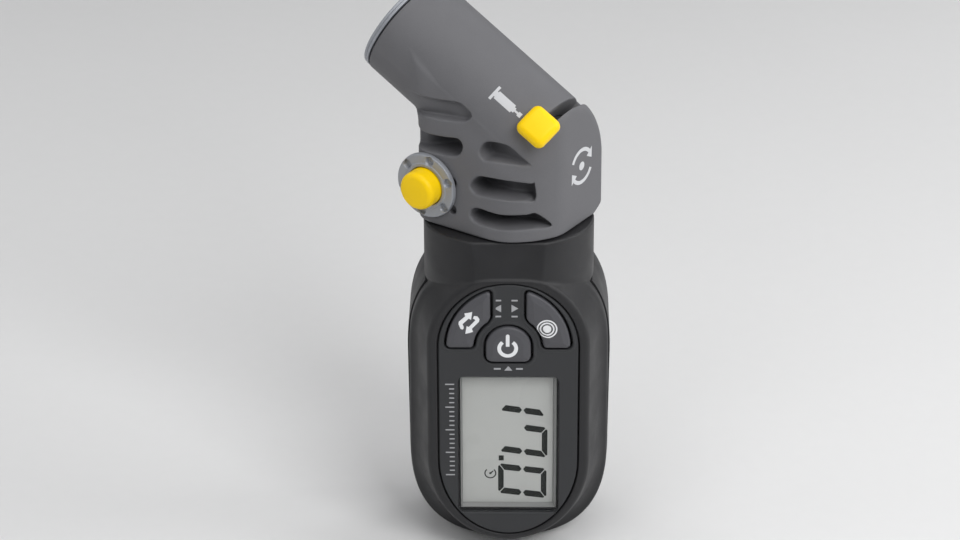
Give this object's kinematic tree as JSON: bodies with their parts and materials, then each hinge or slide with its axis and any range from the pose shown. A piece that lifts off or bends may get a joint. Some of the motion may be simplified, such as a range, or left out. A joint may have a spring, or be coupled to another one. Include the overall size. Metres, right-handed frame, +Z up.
{
  "type": "digital tire pressure gauge",
  "caption": "Handheld tire pressure gauge: angled socket head with bleed button and selector tab, swivelling on a rounded body with display and keys.",
  "frame": {"origin": "Centre of the valve socket's mouth, where a tire valve enters.", "axes": "+Z up, along the swivel axis between the head and the body; the display and keys face -Y; +X is to the right of someone looking at the display. The socket's axis points up and to the left and back, 29 degrees above the horizontal and turned 33.7 degrees from -X, which is the position in the picture."},
  "size_m": [0.0466, 0.0389, 0.1116],
  "materials": {
    "head_grey": "fine-grained mid grey, matte",
    "pod_black": "near-black with a slight sheen",
    "panel_grey": "very dark grey, fine texture",
    "key_grey": "dark grey, soft matte",
    "signal_yellow": "bright yellow, smooth",
    "satin_aluminium": "grey anodised, satin",
    "black_rubber": "matte",
    "brass": "machined",
    "steel": "plain",
    "clear_window": "clear, flat",
    "lcd_glass": "grey-green reflective display",
    "lcd_bezel": "grey",
    "circuit_green": "solder mask",
    "component_black": "moulded",
    "silicone": "translucent pale",
    "washer_white": "low-friction"
  },
  "bodies": {
    "head": {"head_shell": "head_grey", "end_cap": "satin_aluminium", "cap_seal": "black_rubber", "valve_gasket": "black_rubber", "valve_core_body": "brass", "pin_guide": "brass", "depressor_spring": "steel", "release_housing": "satin_aluminium", "release_seal": "black_rubber", "release_spring": "steel", "stem_washer": "black_rubber", "inlet_stem": "brass", "inlet_core": "brass", "swivel_spigot": "brass", "swivel_orings": "black_rubber", "swivel_clip": "steel"},
    "depressor": {"depressor_pin": "brass"},
    "selector": {"selector_drum": "washer_white", "selector_tab": "signal_yellow", "selector_oring": "black_rubber"},
    "release": {"release_button": "signal_yellow", "release_stem": "brass"},
    "inlet_cap": {"dust_cap": "black_rubber"},
    "pod": {"swivel_washer": "washer_white", "front_housing": "pod_black", "rear_housing": "pod_black", "housing_gasket": "black_rubber", "face_panel": "panel_grey", "keypad_web": "silicone", "display_window": "clear_window", "lcd_frame": "lcd_bezel", "lcd_cell": "lcd_glass", "contact_strips": "silicone", "main_board": "circuit_green", "board_screws": "steel", "housing_screws": "steel", "switch_domes": "steel", "board_components": "component_black", "pressure_sensor": "steel", "air_tube": "silicone", "battery_cell": "steel", "battery_contact_negative": "steel", "battery_contact_positive": "steel", "door_seal": "black_rubber"},
    "unit_key": {"key_unit": "key_grey"},
    "tune_key": {"key_tune": "key_grey"},
    "power_key": {"key_power": "key_grey"},
    "door": {"battery_door": "pod_black"}
  },
  "joints": [
    {"name": "pod_swivel", "type": "hinge", "parent": "head", "child": "pod", "pos_m": [0.02016, -0.01344, -0.04247], "axis": [0, 0, 1], "continuous": true},
    {"name": "depressor_press", "type": "slide", "parent": "head", "child": "depressor", "axis": [0.7276, -0.4853, -0.4848], "range_m": [0, 0.0022], "stiffness_N_per_m": 700, "springref_m": -0.0015, "deforming": ["depressor_spring"]},
    {"name": "selector_turn", "type": "hinge", "parent": "head", "child": "selector", "pos_m": [0.02634, -0.01757, -0.01755], "axis": [-0.7276, 0.4853, 0.4848], "range_deg": [0, 82]},
    {"name": "release_press", "type": "slide", "parent": "head", "child": "release", "axis": [0.5548, 0.832, 0], "range_m": [0, 0.002], "stiffness_N_per_m": 900, "springref_m": -0.0015, "deforming": ["release_spring"]},
    {"name": "inlet_cap_pull", "type": "slide", "parent": "head", "child": "inlet_cap", "axis": [0.5548, 0.832, 0], "range_m": [0, 0.012]},
    {"name": "unit_key_press", "type": "slide", "parent": "pod", "child": "unit_key", "axis": [0, 1, 0], "range_m": [0, 0.0005], "stiffness_N_per_m": 1500, "springref_m": -0.0004},
    {"name": "tune_key_press", "type": "slide", "parent": "pod", "child": "tune_key", "axis": [0, 1, 0], "range_m": [0, 0.0005], "stiffness_N_per_m": 1500, "springref_m": -0.0004},
    {"name": "power_key_press", "type": "slide", "parent": "pod", "child": "power_key", "axis": [0, 1, 0], "range_m": [0, 0.0005], "stiffness_N_per_m": 1500, "springref_m": -0.0004},
    {"name": "battery_door_turn", "type": "hinge", "parent": "pod", "child": "door", "pos_m": [0.02016, -0.00044, -0.07847], "axis": [0, 1, 0], "range_deg": [0, 60]}
  ]
}
